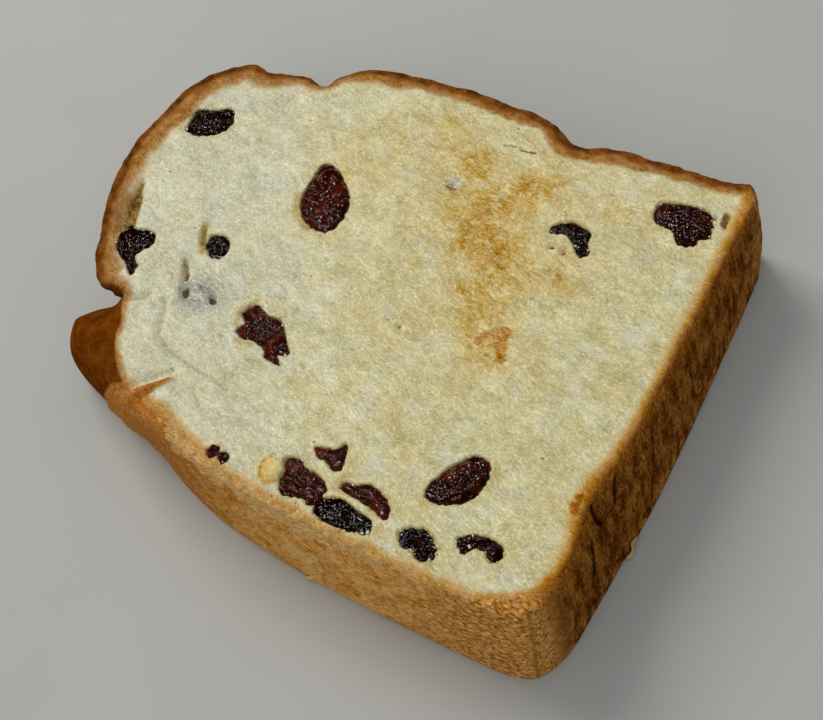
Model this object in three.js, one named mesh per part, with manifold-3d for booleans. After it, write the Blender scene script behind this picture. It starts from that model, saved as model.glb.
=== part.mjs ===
// A thick slice of raisin bread, cut from a loaf with a two-humped top, lying flat.
// Millimetres, +Z up. X runs across the loaf, Y from the flat base crust to the humps, and Z through the slice.
// The loaf fell away towards its end, so the upper cut is a little smaller than the lower one.
import * as THREE from 'three';
import { mergeVertices } from 'three/addons/utils/BufferGeometryUtils.js';
import Module from 'manifold-3d';

const THICKNESS = 27;            // between the two cuts
const STEPS_PER_STATION = 3;     // outline points laid between two stations
const FACE_RINGS = 11;           // rings of the upper cut, from its edge to its middle
const FACE_MIDDLE = new THREE.Vector2(0, 4);
const RING_CROWDING = 1.15;      // above 1, the rings lie closer together near the edge
const RIM_ROUND = 0.9;           // the knife leaves the upper edge a little rounded
const FOOT_ROUND = 0.6;          // and the lower edge less so
const BULGE = 0.7;               // the crust stands out a little between the cuts
const WALL_LEVELS = [0.03, 0.12, 0.28, 0.45, 0.62, 0.78, 0.9, 0.965];
const RAISIN_GAP = 0.35;         // clear space between a raisin and its pocket
const RAISIN_FACETS = 2;         // subdivisions of the ball that a raisin is shaped from
const RAISIN_SINK = 0.18;        // how deep its middle sits under the crumb, as a share of its height
const FULL_WIDTH = 1 / Math.sqrt(1 - (2 * RAISIN_SINK) ** 2);   // its widest part against what shows
const WRINKLE = 0.06;            // depth of its folds, as a share of its size

// Outline stations, anticlockwise: a point of the upper cut and the point of the lower cut below it.
// Bulge is how far the crust stands out half way down. A hump of 1 makes the slope a quarter round.
const STATIONS = [
  // base crust, which stood on the tin's floor
  { upper: [-53.6, -66.6], lower: [-56.3, -68.4] },
  { upper: [-48.5, -68.3], lower: [-50.0, -71.0] },
  { upper: [-38.0, -67.8], lower: [-38.5, -72.1] },
  { upper: [-27.5, -66.2], lower: [-26.0, -72.8] },
  { upper: [-13.0, -67.9], lower: [-12.0, -73.4] },
  { upper: [4.0, -68.0], lower: [5.0, -73.3] },
  { upper: [22.0, -67.9], lower: [23.5, -72.7] },
  { upper: [38.0, -67.9], lower: [41.0, -72.2] },
  { upper: [49.5, -68.4], lower: [52.0, -71.2] },
  { upper: [53.4, -66.6], lower: [57.0, -69.0] },
  // far side crust
  { upper: [53.0, -59.0], lower: [57.4, -60.0] },
  { upper: [52.9, -46.0], lower: [57.2, -46.0] },
  { upper: [52.3, -35.0], lower: [56.6, -34.0] },
  { upper: [50.2, -26.5], lower: [55.4, -25.0] },
  { upper: [54.4, -19.5], lower: [57.0, -17.5] },
  { upper: [55.9, -6.0], lower: [57.8, -4.0] },
  { upper: [56.2, 4.0], lower: [58.0, 6.0] },
  { upper: [55.0, 17.0], lower: [57.4, 19.0] },
  { upper: [53.2, 28.0], lower: [56.0, 30.0] },
  { upper: [48.2, 34.3], lower: [51.5, 38.0] },
  // crease under the right hump, then the hump
  { upper: [44.2, 36.0], lower: [48.2, 41.0] },
  { upper: [45.1, 43.0], lower: [49.0, 47.0] },
  { upper: [42.8, 51.5], lower: [47.0, 54.5] },
  { upper: [43.6, 56.6], lower: [46.0, 60.0] },
  { upper: [38.6, 63.0], lower: [41.0, 66.0] },
  { upper: [31.0, 67.8], lower: [33.5, 70.2] },
  { upper: [22.0, 69.2], lower: [23.0, 72.2] },
  { upper: [12.0, 70.2], lower: [12.0, 73.3] },
  { upper: [2.5, 68.8], lower: [2.0, 72.0] },
  { upper: [-7.0, 65.6], lower: [-6.5, 69.2] },
  { upper: [-15.5, 60.9], lower: [-12.8, 65.0] },
  { upper: [-22.7, 56.6], lower: [-16.0, 62.0], bulge: -0.4 },
  { upper: [-27.1, 51.4], lower: [-18.8, 60.0], bulge: -1.6 },
  // split between the humps, then the left hump, which slopes down to the lower cut
  { upper: [-26.2, 46.4], lower: [-20.0, 58.6], bulge: 0 },
  { upper: [-30.5, 43.4], lower: [-24.7, 62.5], bulge: 0, hump: 0.5 },
  { upper: [-36.0, 41.0], lower: [-31.8, 63.7], bulge: 0.6, hump: 1 },
  { upper: [-40.8, 37.8], lower: [-38.2, 59.2], bulge: 0.9, hump: 1 },
  { upper: [-44.6, 34.0], lower: [-41.4, 50.5], hump: 0.6, bulge: 1.5 },
  { upper: [-47.4, 28.5], lower: [-43.9, 38.5], bulge: 2.2 },
  { upper: [-50.2, 22.0], lower: [-47.4, 28.4], bulge: 0 },
  // near side crust
  { upper: [-51.8, 15.0], lower: [-51.4, 20.0], bulge: 0.3 },
  { upper: [-53.4, 6.0], lower: [-54.6, 9.5] },
  { upper: [-54.6, -5.0], lower: [-56.6, -4.0] },
  { upper: [-55.0, -20.0], lower: [-57.8, -21.0] },
  { upper: [-55.1, -38.0], lower: [-58.0, -39.0] },
  { upper: [-55.0, -55.0], lower: [-57.8, -56.0] },
  { upper: [-54.9, -62.5], lower: [-57.5, -64.5] },
];

// Dips of the upper cut: where it is, how long and wide, how it is turned (degrees) and how deep.
const DIPS = [
  { at: [-5, 59.5], length: 16, width: 7.5, turn: 36, depth: 2.8 },     // torn hollow behind the crust
  { at: [-43.2, 25.6], length: 12, width: 3.2, turn: -43, depth: 1.8 }, // fold where two pieces of dough met
  { at: [-36, 33], length: 14, width: 9, turn: 40, depth: 0.7 },
  { at: [-17, 34], length: 16, width: 9, turn: 70, depth: 0.6 },
  { at: [15, -6], length: 40, width: 26, turn: 20, depth: -0.5 },       // the toasted middle stands up a little
];

// Raisins of the upper cut. Length and width are what shows. Bend curls the ends sideways, taper thins one end,
// and proud is how far the raisin's top stands over the crumb.
const UPPER_RAISINS = [
  { at: [23.5, 56], length: 12, width: 8, turn: -58, bend: 0.6, taper: -0.1, proud: 0.6 },
  { at: [-14.5, 51.5], length: 14, width: 7, turn: 30, bend: 0.4, taper: 0.4, proud: -0.2 },
  { at: [-7, 33.5], length: 6.5, width: 5, turn: 30, bend: 0.4, taper: 0.1, proud: -0.5 },
  { at: [14.5, 18], length: 19.5, width: 10.5, turn: 27, bend: -0.6, taper: -0.1, proud: 1.2 },
  { at: [-21.5, 11.5], length: 17, width: 8, turn: 64, bend: 0.3, taper: 0.1, proud: 0.4 },
  { at: [27, -37.5], length: 10.5, width: 5, turn: 66, bend: 2.6, taper: 0, proud: -0.4 },
  { at: [39.5, -57], length: 13.5, width: 9.5, turn: 77, bend: 0.9, taper: -0.15, proud: 0.3 },
  { at: [-40.5, -17.5], length: 7, width: 4.5, turn: -86, bend: -0.2, taper: 0.45, proud: 0.2 },
  { at: [-48, -14.3], length: 10.8, width: 7, turn: 67, bend: -1.5, taper: -0.1, proud: 0.5 },
  { at: [-50.4, -26.6], length: 11, width: 4.8, turn: -88, bend: -0.3, taper: -0.1, proud: 0.2 },
  { at: [-45.2, -28.1], length: 12, width: 3.6, turn: 82, bend: 1.3, taper: 0, proud: 0.2 },
  { at: [-34.5, -42.5], length: 13.5, width: 7.8, turn: -30, bend: 1.1, taper: 0.1, proud: 0.6 },
  { at: [-49, -41.5], length: 8.4, width: 5.5, turn: 74, bend: 1, taper: -0.1, proud: -0.6 },
  { at: [-44.7, -52.4], length: 9, width: 4, turn: -81, bend: -1.3, taper: 0.1, proud: -0.3 },
  { at: [-50, 4], length: 4.5, width: 2.8, turn: -78, bend: 0, taper: 0.1, proud: 0 },
];

// Raisins of the lower cut, a little sunk in it, so that the slice rests on its crumb.
const LOWER_RAISINS = [
  { at: [-31, -34], length: 13, width: 8, turn: 20, bend: 0.8, taper: 0.1, proud: -0.5 },
  { at: [21, -49], length: 11, width: 7, turn: 104, bend: -0.6, taper: -0.1, proud: -0.5 },
  { at: [36, 13], length: 14, width: 8, turn: -42, bend: 0.7, taper: 0.2, proud: -0.5 },
  { at: [-9, 45], length: 10, width: 7.5, turn: 12, bend: 0, taper: -0.2, proud: -0.5 },
  { at: [3, -11], length: 12, width: 6.5, turn: 68, bend: 1.4, taper: 0, proud: -0.5 },
];

const CRUST = new THREE.MeshStandardMaterial({ color: 0xcdb98a, roughness: 0.9, metalness: 0 });
const RAISIN_SKIN = new THREE.MeshStandardMaterial({ color: 0x2a0f0b, roughness: 0.35, metalness: 0 });

const wasm = await Module();
wasm.setup();

// A number from 0 to 1 that is the same on every run for the same seed.
function seeded(seed) {
  return THREE.MathUtils.euclideanModulo(Math.sin(seed * 127.1 + 311.7) * 43758.5453, 1);
}

// The closed curve through one cut's stations, as points of the plan.
function outline(cut) {
  const points = STATIONS.map((station) => new THREE.Vector3(...station[cut], 0));
  const curve = new THREE.CatmullRomCurve3(points, true, 'centripetal');
  const count = STATIONS.length * STEPS_PER_STATION;
  return Array.from({ length: count }, (_, i) => {
    const p = curve.getPoint(i / count);
    return new THREE.Vector2(p.x, p.y);
  });
}

// A number of the stations, carried evenly from each to the next.
function carried(numberOf) {
  return Array.from({ length: STATIONS.length * STEPS_PER_STATION }, (_, i) => {
    const station = Math.floor(i / STEPS_PER_STATION);
    const next = (station + 1) % STATIONS.length;
    const share = (i % STEPS_PER_STATION) / STEPS_PER_STATION;
    return THREE.MathUtils.lerp(numberOf(STATIONS[station]), numberOf(STATIONS[next]), share);
  });
}

// The same outline, with each point moved inwards by its distance.
function inset(ring, distanceAt) {
  return ring.map((p, i) => {
    const before = ring.at(i - 1);
    const after = ring[(i + 1) % ring.length];
    const along = new THREE.Vector2().subVectors(after, before).normalize();
    return new THREE.Vector2(p.x - along.y * distanceAt(i), p.y + along.x * distanceAt(i));
  });
}

function dip(x, y, { at, length, width, turn, depth }) {
  const angle = THREE.MathUtils.degToRad(turn);
  const dx = x - at[0];
  const dy = y - at[1];
  const along = (dx * Math.cos(angle) + dy * Math.sin(angle)) / (length / 2);
  const across = (dy * Math.cos(angle) - dx * Math.sin(angle)) / (width / 2);
  return depth * Math.exp(-1.4 * (along * along + across * across));
}

// Height of the upper cut: slow waves in the soft crumb, less the dips.
function faceHeight(x, y) {
  const waves = 0.22 * Math.sin(x * 0.11 + y * 0.07) + 0.18 * Math.sin(x * 0.05 - y * 0.13 + 1.3);
  return DIPS.reduce((height, hollow) => height - dip(x, y, hollow), THICKNESS + waves);
}

// The crust at one level, from 0 at the lower cut to 1 at the upper one.
function wallRing(upper, lower, level) {
  const humps = carried((station) => station.hump ?? 0);
  const bulges = carried((station) => station.bulge ?? BULGE);
  const ring = upper.map((top, i) => {
    const reach = THREE.MathUtils.lerp(1 - level, Math.sqrt(1 - level * level), humps[i]);
    return top.clone().lerp(lower[i], reach);
  });
  return inset(ring, (i) => -bulges[i] * Math.sin(Math.PI * level));
}

function lift(ring, heightAt) {
  return ring.map((p) => new THREE.Vector3(p.x, p.y, heightAt(p)));
}

// A closed body from rings of equal count, shut by a fan at each end.
function loft(rings, firstMiddle, lastMiddle) {
  const count = rings[0].length;
  const vertices = [...rings.flat(), firstMiddle, lastMiddle];
  const first = vertices.length - 2;
  const last = vertices.length - 1;
  const faces = [];
  for (let i = 0; i < count; i += 1) {
    const next = (i + 1) % count;
    faces.push(first, next, i);
    faces.push(last, (rings.length - 1) * count + i, (rings.length - 1) * count + next);
    for (let r = 0; r < rings.length - 1; r += 1) {
      const low = r * count;
      const high = low + count;
      faces.push(low + i, low + next, high + next);
      faces.push(low + i, high + next, high + i);
    }
  }
  const geometry = new THREE.BufferGeometry();
  const numbers = vertices.flatMap((v) => v.toArray());
  geometry.setAttribute('position', new THREE.Float32BufferAttribute(numbers, 3));
  geometry.setIndex(faces);
  return geometry;
}

function crumbBody() {
  const upper = outline('upper');
  const lower = outline('lower');
  const rings = [lift(inset(lower, () => FOOT_ROUND), () => 0)];
  for (const level of WALL_LEVELS) {
    rings.push(lift(wallRing(upper, lower, level), () => level * THICKNESS));
  }
  const rim = inset(upper, () => RIM_ROUND);
  rings.push(lift(rim, (p) => faceHeight(p.x, p.y)));
  for (let r = 1; r < FACE_RINGS; r += 1) {
    const share = 1 - (r / FACE_RINGS) ** RING_CROWDING;
    const ring = rim.map((p) => p.clone().lerp(FACE_MIDDLE, 1 - share));
    rings.push(lift(ring, (p) => faceHeight(p.x, p.y)));
  }
  const { x, y } = FACE_MIDDLE;
  return loft(rings, new THREE.Vector3(x, y, 0), new THREE.Vector3(x, y, faceHeight(x, y)));
}

function raisinHeight(raisin) {
  return 2 + raisin.width / 2;
}

// A wrinkled ball, squeezed, tapered and bent, with its middle at the origin and its crown at a given height.
function raisinGeometry(raisin, index, grow, crown) {
  const geometry = new THREE.IcosahedronGeometry(1, RAISIN_FACETS);
  geometry.deleteAttribute('normal');
  geometry.deleteAttribute('uv');
  const ball = mergeVertices(geometry, 1e-4);
  const place = ball.attributes.position;
  const phase = seeded(index) * Math.PI * 2;
  for (let i = 0; i < place.count; i += 1) {
    const v = new THREE.Vector3().fromBufferAttribute(place, i);
    const crossFolds = Math.sin(7 * v.x + phase) * Math.sin(6 * v.y - phase);
    const longFolds = 0.6 * Math.sin(5 * v.z + 4 * v.x + phase);
    const size = 1 + WRINKLE * (crossFolds + longFolds);
    const long = v.x * size * (raisin.length * FULL_WIDTH / 2 + grow);
    const wide = v.y * size * (raisin.width * FULL_WIDTH / 2 + grow) * (1 + raisin.taper * v.x);
    const tall = v.z * size * (v.z > 0 ? crown : raisinHeight(raisin) / 2 + grow);
    place.setXYZ(i, long, wide + raisin.bend * (v.x * v.x - 0.35), tall);
  }
  return ball;
}

// Where a raisin lies. Those of the lower cut are turned over.
function raisinPlace(raisin, below) {
  const depth = RAISIN_SINK * raisinHeight(raisin);
  const [x, y] = raisin.at;
  const z = below ? depth : faceHeight(x, y) - depth;
  const spin = new THREE.Matrix4().makeRotationZ(THREE.MathUtils.degToRad(raisin.turn));
  const turnOver = new THREE.Matrix4().makeRotationX(below ? Math.PI : 0);
  return new THREE.Matrix4().makeTranslation(x, y, z).multiply(spin).multiply(turnOver);
}

function solidOf(geometry) {
  const vertProperties = new Float32Array(geometry.attributes.position.array);
  const triVerts = new Uint32Array(geometry.index.array);
  return new wasm.Manifold(new wasm.Mesh({ numProp: 3, vertProperties, triVerts }));
}

function geometryOf(solid) {
  const mesh = solid.getMesh();
  const geometry = new THREE.BufferGeometry();
  geometry.setAttribute('position', new THREE.BufferAttribute(new Float32Array(mesh.vertProperties), 3));
  geometry.setIndex(new THREE.BufferAttribute(new Uint32Array(mesh.triVerts), 1));
  geometry.computeVertexNormals();
  return geometry;
}

function addRaisin(slice, raisin, index, name, below) {
  const crown = RAISIN_SINK * raisinHeight(raisin) + raisin.proud;
  const mesh = new THREE.Mesh(raisinGeometry(raisin, index, 0, crown), RAISIN_SKIN);
  mesh.name = name;
  mesh.applyMatrix4(raisinPlace(raisin, below));
  slice.add(mesh);
  const pocket = raisinGeometry(raisin, index, RAISIN_GAP, raisinHeight(raisin) / 2);
  return solidOf(pocket.applyMatrix4(raisinPlace(raisin, below)));
}

const slice = new THREE.Group();
let crumb = solidOf(crumbBody());
UPPER_RAISINS.forEach((raisin, i) => {
  const name = `raisin_upper_${String(i + 1).padStart(2, '0')}`;
  crumb = crumb.subtract(addRaisin(slice, raisin, i, name, false));
});
LOWER_RAISINS.forEach((raisin, i) => {
  const name = `raisin_lower_${String(i + 1).padStart(2, '0')}`;
  crumb = crumb.subtract(addRaisin(slice, raisin, i + UPPER_RAISINS.length, name, true));
});

const bread = new THREE.Mesh(geometryOf(crumb), CRUST);
bread.name = 'bread_slice';
slice.add(bread);

export default slice;
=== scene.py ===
import math

import bmesh
import bpy
import numpy as np
from mathutils import Matrix, Vector, geometry, noise


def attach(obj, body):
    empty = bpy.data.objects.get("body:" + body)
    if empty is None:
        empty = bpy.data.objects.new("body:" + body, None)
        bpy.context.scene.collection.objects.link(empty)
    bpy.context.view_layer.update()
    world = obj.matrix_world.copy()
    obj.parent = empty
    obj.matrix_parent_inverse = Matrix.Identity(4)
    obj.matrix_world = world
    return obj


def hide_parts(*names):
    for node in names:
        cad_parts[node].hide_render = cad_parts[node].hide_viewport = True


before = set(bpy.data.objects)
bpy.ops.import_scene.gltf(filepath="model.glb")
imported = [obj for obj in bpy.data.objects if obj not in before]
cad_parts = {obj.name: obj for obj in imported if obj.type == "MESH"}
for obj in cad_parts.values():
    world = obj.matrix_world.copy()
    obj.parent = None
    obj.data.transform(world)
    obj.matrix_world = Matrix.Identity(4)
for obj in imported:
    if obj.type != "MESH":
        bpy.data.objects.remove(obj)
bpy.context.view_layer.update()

# ---- Raisins in the upper cut ----------------------------
# Sun-dried grapes, kneaded whole into the dough. The knife leaves them standing in the cut face.
# Their skin is shrunk into deep folds, nearly black, mahogany where it is thin, and half glossy. Its colour
# is redder up on the fold ridges and near black down in the folds, partly painted shade.
MM = 0.001
CUT = 27.0            # height of the upper cut over the lower one, in mm
RAISIN_GRAIN = 0.21   # spacing of the points on a raisin's skin
EQUATOR = 0.55        # how deep a raisin's widest line lies under the crumb
KEEL = 1.6            # and how far the thinnest one reaches down from there
SWEEPS = 900          # passes over a raisin's plan that settle how full it is
SUNK = 0.25           # raisins of the lower cut stay this far off the face they lie on

# How far each crown stands over the crumb and how deep its skin is creased, in mm, how thin and red the
# skin is, how much crumb sticks to it, and its outline in the cut face, anticlockwise.
UPPER_RAISINS = [
    (0.9, 0.45, 0.2, 0.1, [
        (19, 60), (19, 55.5), (21.2, 52.2), (25, 50.8), (28.9, 53.2), (26.8, 57.2), (25.6, 61.2),
        (22.5, 61)]),
    (0.1, 0.6, 0.15, 0.3, [
        (-16.7, 54.8), (-19.7, 49.8), (-21.6, 47.2), (-19.4, 47), (-16.5, 49.3), (-13, 47.6),
        (-9.9, 48.6), (-9.6, 52.2), (-10.2, 53.6), (-9.8, 55.4), (-12.2, 56.7), (-15, 55.8)]),
    (-0.3, 0.5, 0.1, 0.3, [
        (-8.4, 35.7), (-10, 32.8), (-9.6, 31), (-6.2, 30.6), (-4.1, 32.2), (-4, 34.6), (-5.4, 36.4)]),
    (1.35, 0.38, 0.8, 0, [
        (18.5, 23.8), (13, 23.3), (8.6, 20.8), (6.1, 16.5), (6.5, 12.4), (10.5, 11.2), (16, 12.4),
        (19.8, 15.8), (23, 20), (23.1, 23.8)]),
    (0.7, 0.75, 0.75, 0.2, [
        (-20.5, 17.5), (-21.4, 16.4), (-23.4, 17.3), (-24.9, 15.2), (-24.3, 12.6), (-25.4, 9), (-26.9, 8),
        (-27.1, 3.6), (-25.4, 5.6), (-24.1, 3.5), (-21.2, 6), (-18.5, 8.5), (-17.4, 10.2), (-17.8, 13),
        (-16.1, 16.8), (-19.2, 18.5)]),
    (-0.1, 0.5, 0.15, 0.4, [
        (25.7, -32.3), (26.2, -35.6), (24.6, -38.4), (22.8, -39.8), (22.4, -41.2), (23.8, -42.3),
        (26.4, -41), (28.8, -40.5), (30, -37), (29.4, -34), (27.5, -32)]),
    (0.5, 0.6, 0.5, 0.35, [
        (37.1, -51.5), (36.3, -55.5), (33.7, -58.3), (34.7, -61.2), (36.4, -61.4), (37.6, -63.2),
        (40.7, -62.7), (43.8, -61), (44.2, -57), (43.1, -52.7), (42.6, -50.7), (39.8, -50.1)]),
    (0.3, 0.45, 0.9, 0.1, [
        (-42.1, -15), (-42.2, -17), (-43.3, -18.6), (-43, -20.1), (-40.6, -20.4), (-37.3, -18.6),
        (-39.3, -17), (-39.8, -14.6), (-40.8, -13.3)]),
    (0.7, 0.6, 0.8, 0.1, [
        (-46.6, -10), (-50.2, -10.9), (-52, -12.4), (-51, -17), (-51.9, -18.4), (-50.6, -19.8),
        (-47, -20), (-45.3, -16.5), (-45.2, -13.6), (-44, -12.5), (-45, -9.2)]),
    (0.4, 0.5, 0.1, 0.25, [
        (-52.6, -20.4), (-53.4, -24), (-53, -28.5), (-51.6, -32.2), (-49.2, -31.2), (-48.5, -27.6),
        (-47.7, -23.5), (-50.2, -19.6)]),
    (0.5, 0.45, 0.85, 0.15, [
        (-46, -22.3), (-46.4, -25.8), (-46.8, -29.5), (-47.8, -33.6), (-45.6, -33.4), (-43.1, -29.4),
        (-42.7, -27.2), (-43.9, -25), (-44.6, -22.2)]),
    (0.9, 0.4, 0.6, 0, [
        (-40.6, -39), (-40.1, -42.1), (-37.8, -45.6), (-34, -47.2), (-29.2, -46.4), (-28.3, -43.2),
        (-31.5, -40.2), (-36, -38.1), (-39.2, -37.4)]),
    (-0.4, 0.5, 0.1, 0.5, [
        (-50.9, -38.6), (-51.2, -41.1), (-52.3, -43.3), (-50.8, -45.5), (-48, -44.9), (-46.2, -41.5),
        (-47.3, -38.2), (-48.9, -37.1)]),
    (0, 0.5, 0.3, 0.45, [
        (-46.5, -48.5), (-47.4, -50.2), (-45.8, -51.2), (-45.3, -53.6), (-46.8, -55.6), (-45.5, -56.8),
        (-43.4, -56.5), (-42.5, -54), (-43.3, -50.2), (-45.2, -47.6)]),
    (0.3, 0.5, 0.7, 0.5, [
        (-50.2, 6.6), (-51.6, 5.2), (-50.6, 3.9), (-51.8, 2.4), (-50, 1.5), (-48.9, 2.4), (-49.6, 3.8),
        (-48.6, 4.8)]),
]


def closed_curve(points, steps):
    """Centripetal Catmull-Rom curve through the points, which runs on from the last to the first."""
    points = np.array(points, float)
    count = len(points)
    share = np.arange(steps)[:, None] / steps
    pieces = []
    for i in range(count):
        before, start, end, after = (points[(i + k) % count] for k in (-1, 0, 1, 2))
        d0, d1, d2 = (math.sqrt(np.linalg.norm(v)) for v in (start - before, end - start, after - end))
        leave = ((start - before) / d0 - (end - before) / (d0 + d1) + (end - start) / d1) * d1
        arrive = ((end - start) / d1 - (after - start) / (d1 + d2) + (after - end) / d2) * d1
        bend = -3 * start + 3 * end - 2 * leave - arrive
        twist = 2 * start - 2 * end + leave + arrive
        pieces.append(start + share * leave + share**2 * bend + share**3 * twist)
    return np.concatenate(pieces)


def outward(line):
    """Unit normals that point out of a closed anticlockwise line, or out of several at once."""
    along = np.roll(line, -1, axis=-2) - np.roll(line, 1, axis=-2)
    along = along / np.linalg.norm(along, axis=-1, keepdims=True)
    return np.stack([along[..., 1], -along[..., 0]], axis=-1)


def from_line(points, line):
    """Distance of each point from a line of points in the plan."""
    nearest = np.full(len(points), np.inf)
    for (x, y), (dx, dy) in zip(line[:-1], np.diff(line, axis=0)):
        px, py = points[:, 0] - x, points[:, 1] - y
        along = np.clip((px * dx + py * dy) / (dx * dx + dy * dy + 1e-12), 0, 1)
        nearest = np.minimum(nearest, np.hypot(px - along * dx, py - along * dy))
    return nearest


def within(points, outline):
    """Whether each point lies inside a closed outline."""
    inside = np.zeros(len(points), bool)
    for (x, y), (dx, dy) in zip(outline, np.roll(outline, -1, axis=0) - outline):
        if dy:
            straddles = (points[:, 1] >= y) != (points[:, 1] >= y + dy)
            inside ^= straddles & (points[:, 0] < x + (points[:, 1] - y) / dy * dx)
    return inside


def outside(points, outline):
    """Distance of each point from a closed outline, negative inside it."""
    near = from_line(points, np.concatenate([outline, outline[:1]]))
    return np.where(within(points, outline), -near, near)


def hexagon_grid(low, high, pitch):
    """Points of a grid of equal triangles between two corners."""
    rows = np.arange(low[1], high[1], pitch * math.sqrt(3) / 2)
    columns = np.arange(low[0], high[0], pitch)
    x, y = np.meshgrid(columns, rows)
    x[1::2] += pitch / 2
    return np.column_stack([x.ravel(), y.ravel()])


def fill(ring, inner):
    """Triangles over a closed outline, which may have holes in it. The ring comes first, then what is
    inside.
    """
    plan = np.concatenate([ring, inner])
    border = [(i, (i + 1) % len(ring)) for i in range(len(ring))]
    corners = [Vector(p) for p in plan.tolist()]
    vertices, _, triangles = geometry.delaunay_2d_cdt(corners, border, [], 1, 1e-7, False)[:3]
    assert len(vertices) == len(plan), "the outline crosses itself"
    triangles = np.array(triangles)
    return triangles[within(plan[triangles].mean(axis=1), ring)]


def waves(points, size, seed=0):
    """Smooth random waves, about -1 to 1, of one size or of one size for each direction."""
    if points.shape[1] == 2:
        points = np.column_stack([points, np.zeros(len(points))])
    spots = np.asarray(points, float) / size + np.array([17.3, 5.9, 11.1]) * (seed + 1)
    return 1.6 * np.array([noise.noise(spot) for spot in spots.tolist()])


def ease(value, low, high):
    """0 at low, 1 at high and smooth between, for arrays. With low above high it falls."""
    t = np.clip((value - low) / (high - low), 0, 1)
    return t * t * (3 - 2 * t)


def swelling(outline, pitch=0.3):
    """How a skin over the outline swells: 1 at its fullest and 0 at the edge, as a function of x, y."""
    low, high = outline.min(0) - 2 * pitch, outline.max(0) + 2 * pitch
    columns, rows = np.arange(low[0], high[0], pitch), np.arange(low[1], high[1], pitch)
    x, y = np.meshgrid(columns, rows)
    inside = within(np.column_stack([x.ravel(), y.ravel()]), outline).reshape(x.shape)
    swell = np.zeros(x.shape)
    for _ in range(SWEEPS):
        around = swell[:-2, 1:-1] + swell[2:, 1:-1] + swell[1:-1, :-2] + swell[1:-1, 2:]
        swell[1:-1, 1:-1] = inside[1:-1, 1:-1] * (around + 2 * pitch * pitch) / 4

    def sample(points):
        u, v = (points[:, 0] - low[0]) / pitch, (points[:, 1] - low[1]) / pitch
        i, j = np.clip(u.astype(int), 0, len(columns) - 2), np.clip(v.astype(int), 0, len(rows) - 2)
        s, t = u - i, v - j
        top = swell[j + 1, i] * (1 - s) + swell[j + 1, i + 1] * s
        low_row = swell[j, i] * (1 - s) + swell[j, i + 1] * s
        return np.sqrt(np.maximum(low_row * (1 - t) + top * t, 0) / swell.max())
    return sample


def vertex_normals(points, faces):
    """Unit normals of a mesh's points, by the area of the faces round each."""
    corners = points[faces]
    face_normals = np.cross(corners[:, 1] - corners[:, 0], corners[:, 2] - corners[:, 0])
    normals = np.zeros_like(points)
    for k in range(3):
        np.add.at(normals, faces[:, k], face_normals)
    return normals / np.maximum(np.linalg.norm(normals, axis=1), 1e-12)[:, None]


def new_piece(name, points, faces, material, slot_name, replaced=(), **marks):
    """A smooth mesh from points in mm, with a number at each point for every mark."""
    mesh = bpy.data.meshes.new(name)
    mesh.from_pydata((points * MM).tolist(), [], faces.tolist())
    mesh.shade_smooth()
    for mark, values in marks.items():
        mesh.attributes.new(mark, "FLOAT", "POINT").data.foreach_set("value", values.astype(np.float32))
    mesh.materials.append(material)
    obj = bpy.data.objects.new(name, mesh)
    bpy.context.scene.collection.objects.link(obj)
    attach(obj, "root")
    if replaced:
        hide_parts(*replaced)


PALE_LIGHT = (0.54, 0.50, 0.38)     # colour of the painted light on the crumb's fine grain: its glints and pale streaks


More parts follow.
